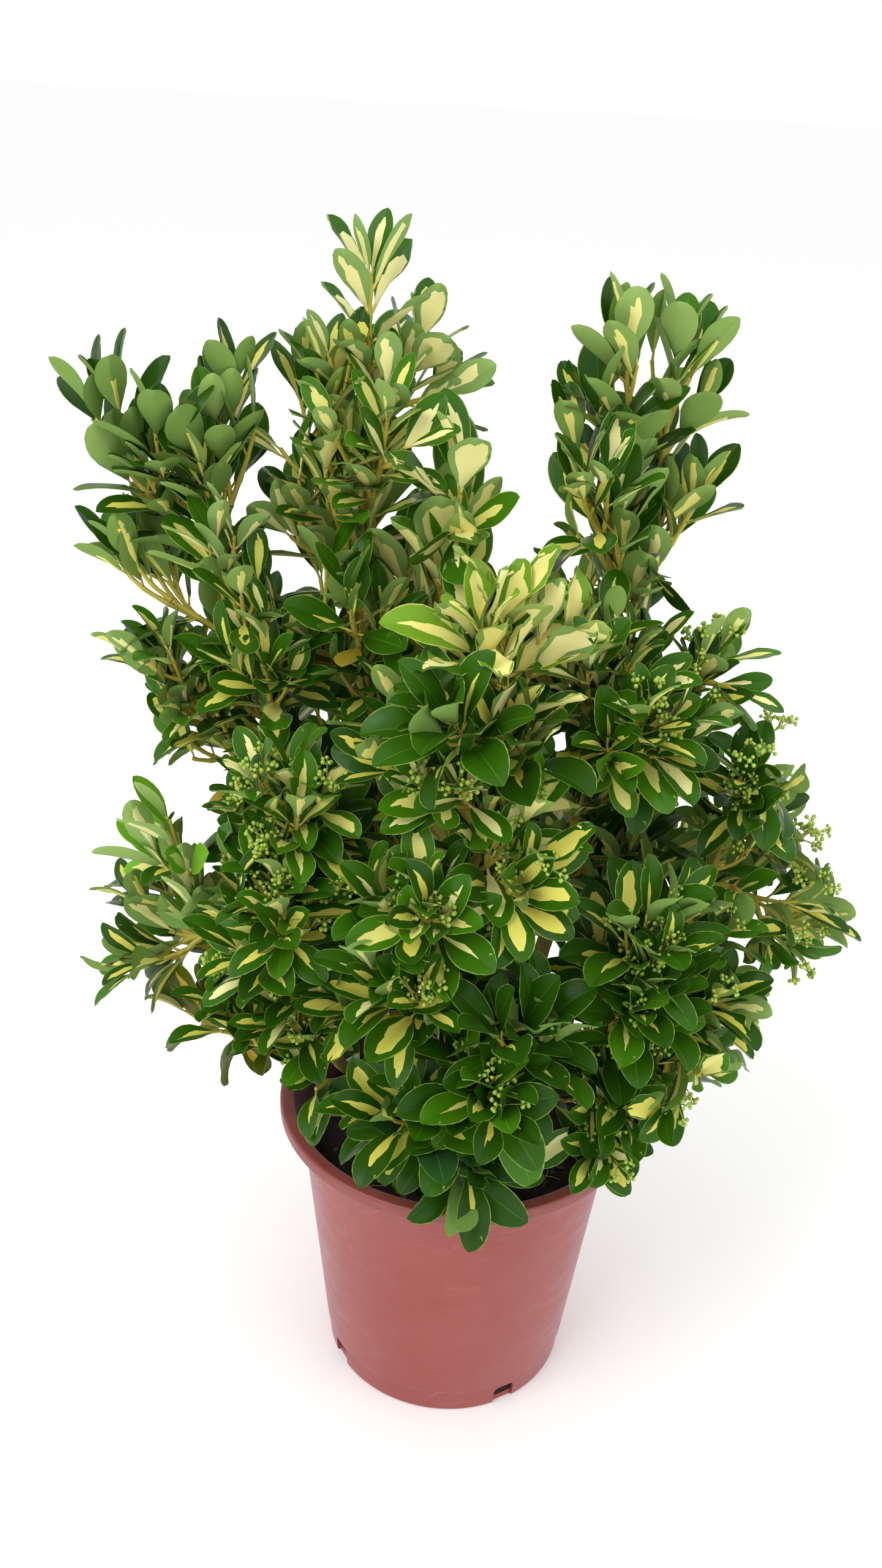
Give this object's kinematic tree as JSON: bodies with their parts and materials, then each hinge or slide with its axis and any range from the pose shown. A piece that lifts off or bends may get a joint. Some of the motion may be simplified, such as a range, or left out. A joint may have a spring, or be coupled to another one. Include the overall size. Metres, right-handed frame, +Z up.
{
  "type": "potted variegated japanese spindle shrub",
  "caption": "Bushy evergreen shrub with glossy oval leaves splashed gold, on several upright stems, in a tapered round terracotta-coloured plastic nursery pot.",
  "frame": {"origin": "centre of the flat underside of the pot", "axes": "+Z straight up, -Y towards the side of the plant that the picture shows, +X to the right of that view"},
  "size_m": [0.5798, 0.4901, 0.8887],
  "materials": {
    "pot_plastic": "satin moulded plastic, terracotta colour",
    "compost": "loose, damp, matt",
    "bark": "thin bark, yellow on young shoots and red-brown on old stems",
    "foliage": "glossy leaves, dark green splashed with gold"
  },
  "bodies": {
    "root": {"pot": "pot_plastic", "soil": "compost", "stem_left": "bark", "stem_centre": "bark", "stem_right": "bark", "stem_front": "bark", "stem_front_left": "bark", "stem_front_right": "bark", "stem_back": "bark", "bough_centre": "bark", "bough_centre_right": "bark", "bough_front_low": "bark", "bough_left": "bark", "bough_left_front": "bark", "bough_middle": "bark", "bough_right": "bark", "bough_right_high": "bark", "bough_right_low": "bark", "bough_right_outer": "bark", "back_high": "foliage", "back_left": "foliage", "back_left_low": "foliage", "back_right": "foliage", "back_right_low": "foliage", "centre_front": "foliage", "centre_left": "foliage", "centre_low": "foliage", "centre_top": "foliage", "centre_top_right": "foliage", "centre_yellow": "foliage", "front_left_lower": "foliage", "front_low": "foliage", "front_lower": "foliage", "front_middle": "foliage", "front_right": "foliage", "front_right_low": "foliage", "front_rim": "foliage", "front_upper": "foliage", "left_fresh": "foliage", "left_front": "foliage", "left_front_upper": "foliage", "left_inner": "foliage", "left_leader": "foliage", "left_leader_inner": "foliage", "left_low": "foliage", "left_middle": "foliage", "left_outer": "foliage", "left_shoulder": "foliage", "middle_large": "foliage", "middle_low": "foliage", "middle_yellow": "foliage", "right_front": "foliage", "right_inner": "foliage", "right_low": "foliage", "right_middle": "foliage", "right_outer": "foliage", "right_shoulder": "foliage", "right_side": "foliage", "right_top_inner": "foliage", "right_top_outer": "foliage"}
  },
  "joints": []
}
